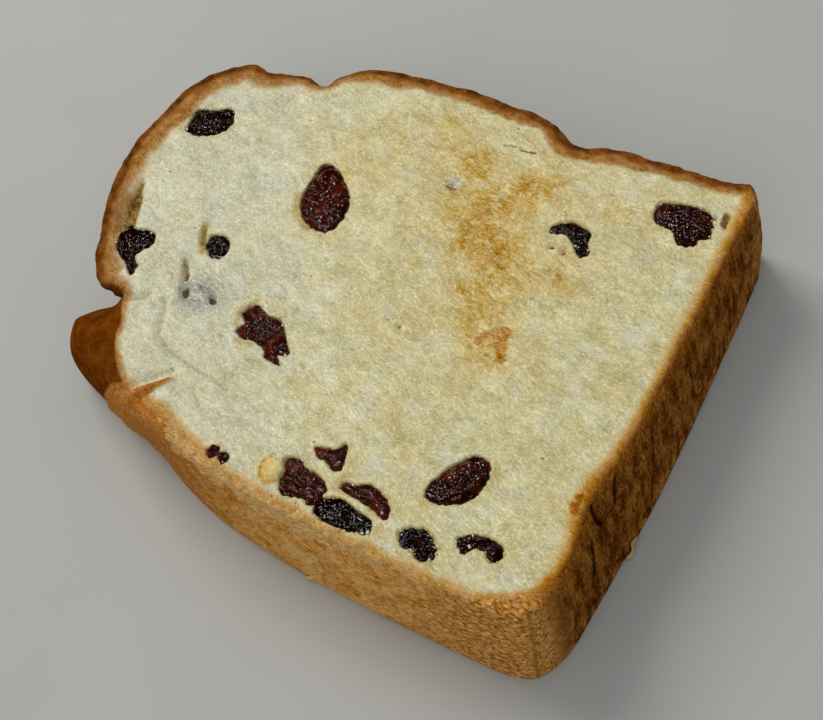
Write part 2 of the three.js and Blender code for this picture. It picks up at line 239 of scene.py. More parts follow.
class Wire:
    """A socket of a node tree. Sums, differences and products of wires become Math nodes."""

    def __init__(self, tree, socket=None):
        self.tree = tree
        self.socket = socket

    def node(self, kind, settings=None, inputs=None, output=0):
        """Adds a node: first its settings, then its inputs by name or number, as values or wires."""
        node = self.tree.nodes.new(kind)
        for key, value in (settings or {}).items():
            setattr(node, key, value)
        for key, value in (inputs or {}).items():
            named = [s for s in node.inputs if s.name == key and s.enabled]
            socket = node.inputs[key] if isinstance(key, int) else named[0]
            if isinstance(value, Wire):
                self.tree.links.new(value.socket, socket)
            else:
                socket.default_value = value
        shown = [s for s in node.outputs if s.enabled]
        wanted = shown[output] if isinstance(output, int) else node.outputs[output]
        return Wire(self.tree, wanted)

    def math(self, operation, *values):
        return self.node("ShaderNodeMath", {"operation": operation}, dict(enumerate(values)))

    def __add__(self, other):
        return self.math("ADD", self, other)

    def __sub__(self, other):
        return self.math("SUBTRACT", self, other)

    def __rsub__(self, other):
        return self.math("SUBTRACT", other, self)

    def __mul__(self, other):
        return self.math("MULTIPLY", self, other)

    __radd__ = __add__
    __rmul__ = __mul__

    def step(self, low, high):
        """0 below low, 1 above high and smooth between. With low above high it falls."""
        settings = {"interpolation_type": "SMOOTHSTEP", "clamp": True}
        ends = {"Value": self, "From Min": low, "From Max": high}
        if low > high:
            ends = {"Value": self, "From Min": high, "From Max": low, "To Min": 1.0, "To Max": 0.0}
        return self.node("ShaderNodeMapRange", settings, ends)

    def mark(self, name):
        """The number that a mesh carries at each point under this name."""
        return self.node("ShaderNodeAttribute", {"attribute_name": name}, output="Fac")

    def vector(self, operation, *values, **named):
        """A Vector Math node on colours or places."""
        inputs = {**dict(enumerate(values)), **named}
        return self.node("ShaderNodeVectorMath", {"operation": operation}, inputs)

    def blend(self, first, second, share):
        """A colour between two colours."""
        inputs = {"Factor": share, "A": first, "B": second}
        return self.node("ShaderNodeMix", {"data_type": "RGBA"}, inputs)

    def over(self, colour, share):
        """This colour with another laid over it."""
        return self.blend(self, colour, share)

    def shaded(self, amount):
        """This colour made darker or lighter by a factor."""
        return self.vector("SCALE", self, Scale=amount)

    def brighter(self, amount):
        """This colour with an amount of pale light added, or taken away if it's less than nothing."""
        return self.vector("MULTIPLY_ADD", PALE_LIGHT, amount, self)

    def place(self):
        """The place on the piece, in mm."""
        return self.vector("SCALE", self.node("ShaderNodeTexCoord", output="Object"), Scale=1 / MM)

    def squeezed(self, *factors):
        """A place squeezed by a factor for each direction, which draws a pattern out."""
        return self.vector("MULTIPLY", self, factors)

    def turned(self, angle):
        """A place turned about the vertical, in radians."""
        inputs = {"Vector": self, "Angle": angle}
        return self.node("ShaderNodeVectorRotate", {"rotation_type": "Z_AXIS"}, inputs)

    def shifted(self, colour, amount):
        """A place moved about by a colour around grey, to break up a regular pattern."""
        moved = self.vector("SUBTRACT", colour, (0.5, 0.5, 0.5))
        return self.vector("ADD", self, self.vector("SCALE", moved, Scale=amount))

    def cloud(self, size, detail=2.0, rough=0.5, output=0):
        """Noise of about that size in mm round this place."""
        inputs = {"Vector": self, "Scale": 1 / size, "Detail": detail, "Roughness": rough}
        return self.node("ShaderNodeTexNoise", {}, inputs, output)

    def cells(self, size, feature="F1"):
        """Distance from the middle of a cell, or from its wall, for cells of that size in mm."""
        inputs = {"Vector": self, "Scale": 1 / size}
        return self.node("ShaderNodeTexVoronoi", {"feature": feature}, inputs)

    def bump(self, strength, depth):
        """The normal of a surface that this height raises by up to a depth in mm."""
        inputs = {"Strength": strength, "Distance": depth * MM, "Height": self}
        return self.node("ShaderNodeBump", {}, inputs)


def new_material(name):
    """A node material with a plain shader, as (material, shader node, wire to start from)."""
    material = bpy.data.materials.new(name)
    material.use_nodes = True
    shader = material.node_tree.nodes["Principled BSDF"]
    return material, shader, Wire(material.node_tree)


def feed(shader, **inputs):
    """Sets a shader's sockets, whose names are given with _ for a space."""
    for key, value in inputs.items():
        socket = shader.inputs[key.replace("_", " ")]
        if isinstance(value, Wire):
            value.tree.links.new(value.socket, socket)
        else:
            socket.default_value = value


def paint(red, green, blue):
    """A colour of the screen, 0 to 255, in the light values that shaders use."""
    lights = [c / 12.92 if c <= 0.04045 else ((c + 0.055) / 1.055) ** 2.4
              for c in (red / 255, green / 255, blue / 255)]
    return (*lights, 1.0)


skin, skin_shader, wire = new_material("raisin_skin")
spot = wire.place()
crinkle = spot.cloud(0.7, 4, 0.62)
# Redder on the fold ridges and near black down in the folds: partly thin skin, partly painted shade in the
# folds.
thin = (wire.mark("ridge") * 0.9 + (crinkle - 0.5) * 0.5 + wire.mark("red") * 0.4).step(-0.4, 1.5)
red = wire.blend(paint(8, 3, 2), paint(100, 30, 12), thin * (0.08 + wire.mark("red") * 0.92))
sugar = spot.cloud(0.9, 3, 0.6)
stuck = wire.blend(red, paint(176, 156, 112), (wire.mark("crumbs") + (sugar - 0.5) * 1.6).step(0.55, 0.8))
relief = spot.cloud(1.1, 1, 0.5).bump(1.0, 0.4)
feed(skin_shader, Base_Color=stuck, Roughness=0.05 + sugar * 0.08, Normal=relief, IOR=1.5)


def raisin(label, outline, proud, folds, red, crumby, seed, height, facing):
    """One raisin round its outline. Facing is 1 in the upper cut and -1, turned over, in the lower."""
    edge = closed_curve(outline, 14)
    ragged = 0.26 * waves(edge, 1.3, seed) + 0.16 * waves(edge, 0.6, seed + 1)
    edge = edge + outward(edge) * ragged[:, None]
    grid = hexagon_grid(edge.min(0), edge.max(0), RAISIN_GRAIN)
    grid = grid[outside(grid, edge) < -0.5 * RAISIN_GRAIN]
    plan = np.concatenate([edge, grid])
    triangles = fill(edge, grid)
    fullness = swelling(edge)(plan)
    fullness[:len(edge)] = 0
    crown = (EQUATOR + proud) * fullness
    keel = -(KEEL + 0.28 * np.ptp(edge, axis=0).min()) * fullness
    inner = np.arange(len(edge), len(plan))
    under = np.arange(len(plan))
    under[inner] = len(plan) + np.arange(len(inner))
    points = np.concatenate([np.column_stack([plan, crown]), np.column_stack([plan[inner], keel[inner]])])
    faces = np.concatenate([triangles, under[triangles][:, ::-1]])

    # Folds run along the raisin, and the drying skin crinkles finely between them.
    _, _, axes = np.linalg.svd(edge - edge.mean(0), full_matrices=False)
    turned = points.copy()
    turned[:, :2] = points[:, :2] @ axes.T
    turned /= (1.5, 1.0, 1.0)
    swirled = turned + 0.8 * np.column_stack([waves(turned, 3.0, seed + k) for k in range(3)])
    creases = np.abs(waves(swirled, 2.4, seed + 5)) - 0.3
    small = np.abs(waves(swirled, 1.0, seed + 9)) - 0.3
    ridge = creases + 0.3 * small + 0.08 * waves(turned, 0.55, seed + 3)
    full = np.concatenate([fullness, fullness[inner]])
    points = points + vertex_normals(points, faces) * (folds * ridge * (0.35 + 0.65 * full))[:, None]
    points[:, 2] = facing * points[:, 2] + height - facing * EQUATOR
    if facing < 0:
        faces = faces[:, ::-1]
        points[:, 2] = np.maximum(points[:, 2], SUNK)
    crumbs = crumby * ease(full, 0.75, 0.1)
    new_piece(f"raisin_skin_{label}", points, faces, skin, "raisin", [f"raisin_{label}"], ridge=ridge,
              crumbs=crumbs, red=red + 0 * ridge)


# The cut face isn't flat: it has slow waves, and dips, each with its place, its length and width, its turn
# and its depth. Those that end in 2 are slits and torn holes with steep sides, and a minus is a bump.
DIPS = [
    ((-36, 33), (15, 10), 40, -0.7, 1), ((53, -66), (4, 2.6), 70, -1, 1),
    ((-17, 34), (16, 9), 70, 0.6, 1), ((15, -6), (40, 26), 20, -0.5, 1),
    ((42.8, -65), (5.2, 1.5), 12, 1.4, 2), ((43, -62.6), (1.8, 1.2), 60, 1.2, 2),
    ((-15.3, 36.4), (6, 1.5), 32, 1.7, 2), ((-20.2, 33.4), (4.4, 2.2), 45, 1.3, 2),
    ((-19.3, 26.4), (2.8, 2), 45, 1.2, 2), ((28.2, -7.1), (2.6, 1.6), 80, 0.6, 2),
    ((44.5, -17.5), (4, 1.3), -90, 0.7, 2), ((44.3, -13.2), (5, 0.9), -88, 0.5, 2),
    ((49.2, 14.5), (5, 1), -82, 0.6, 2), ((-48.4, -8), (7, 5.4), 0, -1.2, 1),
    ((24.2, -35.6), (4.4, 3.2), -80, -0.8, 2), ((22.3, -34.4), (2, 1.3), -60, 0.9, 2),
    ((22.1, -37.2), (1.8, 1.2), -100, 0.9, 2), ((-8.7, -14.3), (1.5, 1.1), 0, 0.6, 2),
]

# Seams where the dough folded on itself while it rose, as lines in the cut face with width and depth.
SEAMS = [
    ([(-23.9, 36.2), (-26.1, 34.6), (-29.9, 33), (-31.8, 32.2), (-34.2, 27.8), (-35.3, 21.8),
      (-36, 15.1), (-36.7, 11)], 0.9, 0.6),
    ([(-44.7, 20.3), (-47.9, 16), (-49.1, 12.1), (-49.2, 8)], 0.9, 0.5),
    ([(-39.4, 17.9), (-42.8, 13.9)], 0.8, 0.35),
    ([(-26.5, 45.9), (-26.7, 43.6), (-25.3, 41.2), (-23.5, 40.4)], 0.8, 0.8),
    # the crust folded in under the left hump
    ([(-46.6, 31.4), (-43.9, 29), (-41.4, 26.6), (-38.9, 24.2)], 1.1, 1.1),
    ([(-47, 28.2), (-44.6, 26.8), (-42.2, 24.9), (-40, 23.1)], 1.2, -0.9),
    # the sunk pocket behind the crust of the right hump
    ([(1.6, 61.1), (-3.5, 59.7)], 1, 1.2),
    ([(-3.4, 59.8), (-8, 58), (-10.4, 57.2)], 2.3, 2.4),
    # and the narrow pocket beside a raisin
    ([(-2.6, 38.9), (-4.9, 38.4), (-7.6, 36.8)], 0.7, 1),
]


def dip(x, y, at, size, turn, depth, sharp):
    angle = math.radians(turn)
    dx, dy = x - at[0], y - at[1]
    along = (dx * math.cos(angle) + dy * math.sin(angle)) / (size[0] / 2)
    across = (dy * math.cos(angle) - dx * math.sin(angle)) / (size[1] / 2)
    return depth * np.exp(-1.4 * (along**2 + across**2) ** sharp)


def seam(x, y, path, width, depth):
    away = from_line(np.column_stack([x, y]), np.array(path))
    return depth * np.exp(-((away / width) ** 2))


def slow_waves(x, y):
    return 0.22 * np.sin(x * 0.11 + y * 0.07) + 0.18 * np.sin(x * 0.05 - y * 0.13 + 1.3)


def cut_height(x, y):
    """Height of the upper cut, for arrays of places."""
    sunk = sum(dip(x, y, *one) for one in DIPS) + sum(seam(x, y, *one) for one in SEAMS)
    return CUT + slow_waves(x, y) - sunk


for number, (proud, folds, red, crumby, outline) in enumerate(UPPER_RAISINS, 1):
    around = CUT + slow_waves(*np.mean(outline, axis=0))
    raisin(f"upper_{number:02d}", outline, proud, folds, red, crumby, 20 * number, around, 1)

# ---- Raisins in the lower cut ----------------------------
# The same raisins on the face that the slice lies on, sunk a little so that the crumb carries it.
# Middle, length and width in mm, turn in degrees, curl in mm and taper.
LOWER_RAISINS = [
    ((-31, -34), (13, 8), 20, 0.8, 0.1), ((21, -49), (11, 7), 104, -0.6, -0.1),
    ((36, 13), (14, 8), -42, 0.7, 0.2), ((-9, 45), (10, 7.5), 12, 0, -0.2),
    ((3, -11), (12, 6.5), 68, 1.4, 0),
]


def bean(at, size, turn, bend, taper):
    """The outline of a plain raisin: an oval, thinner at one end, with its ends curled sideways."""
    round_it = np.linspace(0, 2 * math.pi, 14, endpoint=False)
    u, v = np.cos(round_it), np.sin(round_it)
    long = u * size[0] / 2
    wide = v * size[1] / 2 * (1 + taper * u) + bend * (u * u - 0.35)
    angle = math.radians(turn)
    return np.column_stack([at[0] + long * math.cos(angle) - wide * math.sin(angle),
                            at[1] + long * math.sin(angle) + wide * math.cos(angle)])


for number, one in enumerate(LOWER_RAISINS, 1):
    raisin(f"lower_{number:02d}", bean(*one), proud=-0.2, folds=0.35, red=0.5, crumby=0.2,
           seed=400 + 20 * number, height=0.0, facing=-1)

# ---- The slice -------------------------------------------
# Soft white yeast dough, baked in a tin: the tin gives the flat base and the straight sides, and the
# open top rises into two humps with a split between them. Cut thick, then lightly toasted.
GRAIN = 0.62          # spacing of the points on the upper cut
FINE = 0.34           # and close to a raisin
LOWER_GRAIN = 1.7     # and on the lower cut
COLUMNS = 840         # lines of points down the crust
ROWS = 44             # points on each of them
RIM_ROUND = 0.9       # the knife leaves the upper edge a little rounded
NEAR_ROUND = 1.6      # and tears it rounder still along the near side
FOOT_ROUND = 0.6      # the lower edge less so
LEDGE = 1.5           # the left hump's crumb stands this far over its crust
POCKET = 1.9          # the crumb is pressed in this far round a raisin
TORN_FROM = 24.6      # height where the near crust begins to be torn
SHOULDER = 0.8        # the torn shoulder of the near side swells this far under its edge
GRAIN_TURN = 0.3      # the crumb is drawn out aslant of the loaf's height, in radians
FAR_OFF = 9.0         # stands for any distance too far from a raisin to matter

# Stations round the crust, anticlockwise, in mm: x and y at the upper cut, x and y at the lower cut, how
# far the brown crust reaches in over the upper cut, and how far the golden crumb reaches on from there.
# Where it isn't a plain side: how far it stands out half way down, and 1 where the slope is a quarter round.
PLAIN_SIDE = (0.7, 0)
STATIONS = np.array([(*row, *PLAIN_SIDE)[:8] for row in [
    # base crust, which stood on the tin's floor
    (-52.9, -66.2, -55.3, -67.9, 0.6, 2.6), (-48, -68.2, -49.4, -71, 0, 2.2),
    (-38, -67.8, -38.5, -72.1, -0.6, 2.8), (-27.5, -66.2, -26, -72.8, -0.6, 3.4),
    (-13, -67.9, -12, -73.4, -0.9, 2.6), (4, -68, 5, -73.3, -1, 2.5),
    (22, -67.9, 23.5, -72.7, -1.1, 2.7), (38, -67.9, 41, -72.2, -0.7, 2.9),
    (49.5, -68.4, 52, -71.2, 0.2, 2.6), (53.4, -66.6, 57, -69, 1.5, 2),
    # far side crust
    (53, -59, 57.4, -60, 1.6, 1.6), (52.9, -46, 57.2, -46, 2, 1.4),
    (52.3, -35, 56.6, -34, 3.4, 1.5), (50.2, -26.5, 55.4, -25, 2.9, 1.2),
    (54.4, -19.5, 57, -17.5, 2.3, 1.3), (55.9, -6, 57.8, -4, 2.7, 1.2),
    (56.2, 4, 58, 6, 2.5, 1.5), (55, 17, 57.4, 19, 2.5, 2),
    (53.2, 28, 56, 30, 1.6, 3.2), (48.2, 34.3, 51.5, 38, 0.6, 2.5),
    # crease under the right hump, then the hump
    (44.2, 36, 48.2, 41, 0.2, 1.4), (45.1, 43, 49, 47, 0.9, 2.9),
    (42.8, 51.5, 47, 54.5, 1.6, 3.5), (43.6, 56.6, 46, 60, 2.4, 4),
    (38.6, 63, 41, 66, 3, 4), (31, 67.8, 33.5, 70.2, 4.3, 2.5),
    (22, 69.2, 23, 72.2, 5.2, 1.5), (12, 70.2, 12, 73.3, 3.3, 3.5),
    (2.5, 68.8, 2, 72, 3, 3.5), (-7, 65.6, -6.5, 69.2, 2.4, 2.4),
    (-15.5, 60.9, -12.8, 65, 2.2, 2.4), (-22.7, 56.6, -16, 62, 2.6, 3.4, -0.4, 0),
    (-27.1, 51.4, -18.8, 60, 3.4, 3.4, -1.6, 0),
    # split between the humps, then the left hump, which slopes down to the lower cut
    (-26.2, 46.4, -20, 58.6, 0.8, 2.4, 0, 0), (-30.5, 43.4, -24.7, 62.5, -0.3, 1.8, 0, 0.5),
    (-36, 41, -31.8, 63.7, -0.4, 1.6, 0.6, 1), (-40.8, 37.8, -38.2, 59.2, -0.4, 1.6, 0.9, 1),
    (-44.6, 34, -41.4, 50.5, -0.4, 1.9, 1.5, 0.6), (-47.4, 28.5, -43.9, 38.5, 0.6, 2.6, 2.2, 0),
    (-50.2, 22, -47.4, 28.4, 1.9, 3.3, 0, 0),
    # near side crust
    (-51.8, 15, -51.4, 20, 1.2, 3, 0.3, 0), (-53.4, 6, -54.6, 9.5, 0, 2.9),
    (-54.6, -5, -56.6, -4, -0.6, 2.4), (-55, -20, -57.8, -21, -1.2, 2.4),
    (-55.1, -38, -58, -39, -2, 2.6), (-55, -55, -57.8, -56, -0.9, 2.6),
    (-54.7, -62, -57.2, -63.4, 0.1, 2.6),
]])
SPLIT, SHELF_END, SHOULDER_END = 33.3, 37.25, 41.0      # stations where the left hump's crust changes

# Cracks down the base crust, as lines of x and height with width and depth.
CRACKS = [
    ([(-6.2, 19.5), (-9.5, 10.9), (-12.7, 4.1)], 0.3, 0.5),
    ([(-19.8, 23.5), (-22.2, 17.8)], 0.45, 0.6),
    ([(-27.7, 24.6), (-28.4, 21), (-27.6, 18.1)], 0.6, 0.8),
    ([(-32.4, 19.1), (-34.9, 11.5)], 0.6, 0.7),
    ([(-48.6, 26), (-49.2, 22), (-48.6, 18), (-49.6, 12)], 0.45, 0.6),
    ([(12, 18), (11, 9)], 0.3, 0.35),
    ([(33, 15), (32, 4)], 0.3, 0.35),
]


def evenly(values, place, count):
    """Values along a closed line, taken at equal steps of its length."""
    run = np.linalg.norm(np.diff(place, axis=0, append=place[:1]), axis=1)
    length = np.concatenate([[0], np.cumsum(run)])
    wanted = np.linspace(0, length[-1], count, endpoint=False)
    looped = np.concatenate([values, values[:1]])
    return np.column_stack([np.interp(wanted, length, column) for column in looped.T])


def inset(rings, distance):
    """Rings of points in the plan, all of equal count, moved inwards."""
    return rings - distance[..., None] * outward(rings)


steps = 24
upper_line = closed_curve(STATIONS[:, :2], steps)
lower_line = closed_curve(STATIONS[:, 2:4], steps)
between = np.arange(len(upper_line))
carried = [np.interp(between, np.arange(len(STATIONS) + 1) * steps, np.append(column, column[0]))
           for column in STATIONS[:, 4:].T]
table = evenly(np.column_stack([upper_line, lower_line, *carried, between / steps]),
               (upper_line + lower_line) / 2, COLUMNS)
upper_line, lower_line = table[:, :2], table[:, 2:4]
brown, golden, bulge, hump, station = table[:, 4:].T
way_out = outward((upper_line + lower_line) / 2)
shoulder = ease(station, SHELF_END, SHELF_END + 0.15)
shoulder = shoulder * ease(station, SHOULDER_END, SHELF_END + 1)

# The crust, as many close rings, then taken at equal steps down each column.
level = np.sin(np.linspace(0, math.pi / 2, 150))[:, None]
spread = (1 - level) * (1 - hump) + np.sqrt(1 - level**2) * hump
side = upper_line + (lower_line - upper_line) * spread[..., None]
side = inset(side, -bulge * np.sin(math.pi * level) - SHOULDER * shoulder * ease(level, 1.0, 0.85))
height = level * CUT + 0 * hump
rounding = RIM_ROUND + (NEAR_ROUND - RIM_ROUND) * ease(station, 38, 41)
rounding = rounding * (1 - 0.6 * ease(np.abs(station - 33), 1.5, 0.5))
rim_turn = np.clip((height - CUT + rounding) / rounding, 0, 1)
foot_turn = np.clip((FOOT_ROUND - height) / FOOT_ROUND, 0, 1)
rim_in, foot_in = (1 - np.sqrt(1 - turn**2) for turn in (rim_turn, foot_turn))
side = inset(side, rounding * rim_in + FOOT_ROUND * foot_in)
wave_up = cut_height(side[-1, :, 0], side[-1, :, 1]) - CUT
height = height + wave_up * ease(level, 0.8, 1.0)
side = np.concatenate([side, height[..., None]], axis=2)
rows = np.linspace(0, 1, ROWS)
crust_points = np.empty((ROWS, COLUMNS, 3))
down_crust = np.empty((ROWS, COLUMNS))
for column in range(COLUMNS):
    run = np.linalg.norm(np.diff(side[:, column], axis=0), axis=1)
    length = np.concatenate([[0], np.cumsum(run)])
    down_crust[:, column] = (1 - rows) * length[-1]
    for k in range(3):
        crust_points[:, column, k] = np.interp(rows * length[-1], length, side[:, column, k])
# The left hump's crumb stands over its crust in a rounded ledge.
on_hump = ease(station, SPLIT, SPLIT + 0.7) * ease(station, SHELF_END, SHELF_END - 0.4)
crust_points[..., 2] -= LEDGE * on_hump * ease(down_crust, 0.3, 1.9) * ease(down_crust, 18, 4)


def grid_faces(row_count, column_count):
    """Triangles between neighbouring rings."""
    i, j = np.meshgrid(np.arange(row_count - 1), np.arange(column_count), indexing="ij")
    low, low_next = i * column_count + j, i * column_count + (j + 1) % column_count
    high, high_next = low + column_count, low_next + column_count
    return np.concatenate([np.stack([low, low_next, high_next], -1).reshape(-1, 3),
                           np.stack([low, high_next, high], -1).reshape(-1, 3)])


shuffle = np.random.default_rng(11)
rim = crust_points[-1, :, :2]
foot = crust_points[0, :, :2]
outlines = [closed_curve(row[-1], 6) for row in UPPER_RAISINS]
coarse = hexagon_grid(rim.min(0), rim.max(0), GRAIN)
fine = hexagon_grid(rim.min(0), rim.max(0), FINE)


def from_raisins(spots, margin):
    """Distance of each place of the cut face from the nearest raisin, looked for within the margin."""
    nearest = np.full(len(spots), FAR_OFF)
    for outline in outlines:
        close = np.all((spots > outline.min(0) - margin) & (spots < outline.max(0) + margin), axis=1)
        nearest[close] = np.minimum(nearest[close], outside(spots[close], outline))
    return nearest


inner = np.concatenate([coarse[np.abs(from_raisins(coarse, 2.5)) > 1.0],
                        fine[np.abs(from_raisins(fine, 2.5)) < 1.0]])
inner = inner[outside(inner, rim) < -0.35]
inner = inner + shuffle.uniform(-0.08, 0.08, inner.shape)
lower_inner = hexagon_grid(foot.min(0), foot.max(0), LOWER_GRAIN)
lower_inner = lower_inner[outside(lower_inner, foot) < -0.7]

on_crust = ROWS * COLUMNS
top_rows = np.concatenate([(ROWS - 1) * COLUMNS + np.arange(COLUMNS), on_crust + np.arange(len(inner))])
low_rows = np.concatenate([np.arange(COLUMNS), on_crust + len(inner) + np.arange(len(lower_inner))])
upper_face = np.column_stack([inner, cut_height(inner[:, 0], inner[:, 1])])
lower_face = np.column_stack([lower_inner, 0 * lower_inner[:, 0]])
points = np.concatenate([crust_points.reshape(-1, 3), upper_face, lower_face])
faces = np.concatenate([grid_faces(ROWS, COLUMNS), top_rows[fill(rim, inner)],
                        low_rows[fill(foot, lower_inner)][:, ::-1]])

# What each point of the mesh is part of, and how far inside the rim it lies, negative down the crust.
x, y, z = points.T
on_top = np.arange(len(points)) >= on_crust
on_top[on_crust + len(inner):] = False
below = np.arange(len(points)) >= on_crust + len(inner)
column = np.arange(len(points)) % COLUMNS
for face, line in ((on_top, rim), (below, foot)):
    spots = points[face, :2]
    column[face] = [np.argmin(((line - spot) ** 2).sum(1)) for spot in spots]
inwards = np.concatenate([-down_crust.ravel(), -outside(inner, rim), -outside(lower_inner, foot)])
near_raisin = np.full(len(points), FAR_OFF)
near_raisin[on_top] = from_raisins(points[on_top, :2], 6.0)
on_wall = ~on_top & ~below
base_side = ease(-way_out[column, 1], 0.55, 0.85) * ease(y, 0, -40)
near_side = ease(-way_out[column, 0], 0.4, 0.75)
near_side = near_side * ease(station[column], SHELF_END, SHELF_END + 0.2)
shelf = ease(station, SPLIT, SPLIT + 0.3) * ease(station, SHELF_END + 0.12, SHELF_END)
shelf = shelf[column] * on_wall
round_corner = ease(x, -43, -53) * (y < -40)
near_side = np.maximum(near_side, base_side * round_corner)
base_side = base_side * (1 - round_corner)
corner = near_side * ease(x + y, -92, -112)

# The near crust is torn crumbly under its upper edge, deepest beside the raisins.
torn_height = TORN_FROM - 4.2 * np.exp(-(((y + 16) / 17) ** 2)) - 1.4 * np.exp(-(((y - 14) / 9) ** 2))
torn_patch = dip(y, z, (-17, 11.5), (15, 8.5), 20, 1.0, 1)
ragged_height = z + 1.8 * waves(points, 2.6, 14) + 0.8 * waves(points, 0.9, 15)
crumbly = ease(ragged_height - torn_height, -0.6, 1.8)
crumbly = np.maximum(crumbly, ease(torn_patch + 0.35 * waves(points, 1.8, 16), 0.3, 0.8))
crumbly *= near_side * (1 - ease(y, -38, -56)) * (1 - ease(y, 12, 21)) * ~below
ruddy = near_side * ease(y, -12, 20)

# Pockets round the raisins, crumb cells and the crust's own relief, pushed along the normals.
normals = vertex_normals(points, faces)
torn = near_raisin + 0.3 * waves(points, 0.9, 10)
pocket = POCKET * ease(torn, 0.35, -0.8) * on_top
cos_turn, sin_turn = math.cos(GRAIN_TURN), math.sin(GRAIN_TURN)
slant = np.column_stack([x * cos_turn - y * sin_turn, x * sin_turn + y * cos_turn, z])
crumb_relief = (0.14 * waves(points, 6.0, 3) + 0.07 * waves(slant, (1.4, 3.6, 1.4), 1)
                + 0.05 * waves(points, 1.3, 2)
                - 0.2 * ease(waves(slant, (1.6, 3.2, 1.6), 12), 0.45, 1.0))
strands = 0.20 * waves(points, (1.5, 1.5, 9.0), 4) + 0.16 * waves(points, (0.9, 0.9, 3.4), 5)
cracks = sum(seam(x, z, *one) for one in CRACKS) * on_wall
lumps = waves(points, 5.0, 7)
cells = waves(points, 1.3, 2)
rest = (1 - base_side) * (1 - near_side) * (1 - shelf)
crust_relief = (base_side * (strands - cracks)
                + near_side * (0.08 * waves(points, (4.5, 4.5, 1.4), 6) + 0.14 * lumps + 0.06 * cells)
                + crumbly * (0.30 * cells + 0.25 * waves(points, 2.4, 13))
                + rest * (0.38 * lumps + 0.14 * cells) + shelf * 0.06 * lumps)
soft = ease(inwards, -1.5, 1.0)
relief = soft * crumb_relief + (1 - soft) * crust_relief
relief[below] = 0.0
relief[: COLUMNS * 2] = 0.0
away = ease(np.abs(near_raisin), 0.0, 1.0)
points = points + normals * (relief * np.where(on_top, 0.4 + 0.6 * away, 1.0))[:, None]
points[:, 2] -= pocket
points[:, 2] = np.maximum(points[:, 2], 0.0)


def patches(*places, sharp=2):
    """Sum of soft ovals on the upper cut, each given as strength, size, middle and turn."""
    return sum(dip(x, y, at, size, turn, share, sharp) for share, size, at, turn in places) * on_top


def strokes(*lines):
    """Sum of soft lines on the upper cut, each given as strength, width and path."""
    return sum(seam(x, y, path, width, share) for share, width, path in lines) * on_top


# Marks on the upper cut: browned and scorched by the toaster, filmed over, stained by the raisins and partly
# painted shade in pockets, painted shade in the hollows, along the seams and in the pits, a blister and its
# rim, a gap in the crust, whiter crumb, and the tongue of crust torn over the near shoulder.
toast = 0.08 + patches(
    (0.50, (20, 16), (22, -15), 30), (0.50, (16, 18), (16, -25), 0), (0.45, (16, 13), (31, -22), 0),
    (0.45, (16, 13), (37, -8), 20), (0.30, (14, 12), (43, 2), 0), (0.35, (12, 12), (37, -26), 0),
    (0.45, (18, 16), (4, -27), 0), (0.35, (14, 12), (16, -39), 0), (0.30, (26, 10), (36, -44), -80),
    (0.25, (26, 18), (26, 21), 30), (0.20, (20, 14), (36, 11), 0), (0.35, (20, 18), (-6, -34), 30),
    (0.20, (80, 60), (20, -16), 0), sharp=1)
scorch = strokes((1, 1.1, [(-4.9, -30.9), (-2.7, -31.6), (-0.6, -34.6)]),
                 (1.1, 1.2, [(-1.4, -35.6), (-3.3, -34.8), (-5, -36.3), (-7, -37.2)])) + patches(
    (0.5, (10, 6), (14, -26), 60), (0.4, (8, 4), (25, -17), 40), (0.45, (9, 4), (37, -24), -80),
    (0.4, (5, 3), (38, -29), 0), (0.5, (4, 2.6), (16.5, -39.1), 0), sharp=1)
film = patches(
    (1.9, (17, 12), (-19.6, 29.8), 78), (0.9, (10, 7), (35.6, 42), -20), (1.2, (9, 6), (29.6, -7.2), 30),
    (0.5, (9, 5), (-17, 44), 30), (0.8, (8, 5), (-25.2, 4.5), -60), (0.8, (8, 6), (-12, 51), 0),
    (0.7, (8, 5), (-47, -52), 60), sharp=1)
# Amber stains in the crumb round the raisins. The strokes in the sunk pockets, the narrow slit and a seam
# paint shade in the same colour.
amber = strokes(
    (0.9, 1.3, [(13, 24.6), (8.4, 22.2), (5.6, 18)]), (0.7, 0.9, [(5.4, 17), (5.6, 12.6)]),
    (0.7, 1.6, [(18.6, 61.4), (22.2, 62.3), (27, 62.4), (28.2, 58)]),
    (0.6, 1.4, [(18.3, 58), (18.4, 54.8), (20.8, 51.4), (25, 49.9)]),
    (0.9, 1, [(-22.4, 18.2), (-18.9, 19.2), (-15.4, 17)]), (0.9, 1.1, [(-25.8, 15.8), (-25.4, 12.4)]),
    (0.6, 0.8, [(-14.8, 15), (-16.4, 11)]), (0.7, 1.1, [(-46.6, -21.2), (-43.6, -21.4)]),
    (0.6, 0.9, [(-43, -22.4), (-41.8, -26)]), (1, 2.8, [(-3.4, 60.2), (-8, 58.4), (-10.8, 57)]),
    (0.7, 1.4, [(2.4, 61.4), (-3.5, 60)]), (1, 1.5, [(-3, 39), (-4.9, 38.5), (-7.6, 36.8), (-9.4, 35.6)]),
    (0.7, 1, [(-12.7, 38.6), (-16.4, 35.5)]), (0.4, 0.9, [(-45, 20), (-47.9, 16), (-49.1, 12.1)])) + patches(
    (0.6, (8, 4.4), (-34.4, -37), -25), (0.8, (4, 2.6), (-41.6, -38.2), 60),
    (0.9, (4.4, 3), (-50.2, -33.2), 0), (0.6, (4, 2), (44.8, -54), 80),
    (0.6, (4, 2.4), (-37.4, -16), 60), (0.7, (3, 1.8), (-40.2, -21.6), 20), sharp=1)
amber = np.maximum(amber, 0.75 * ease(near_raisin, 1, 0) * on_top)
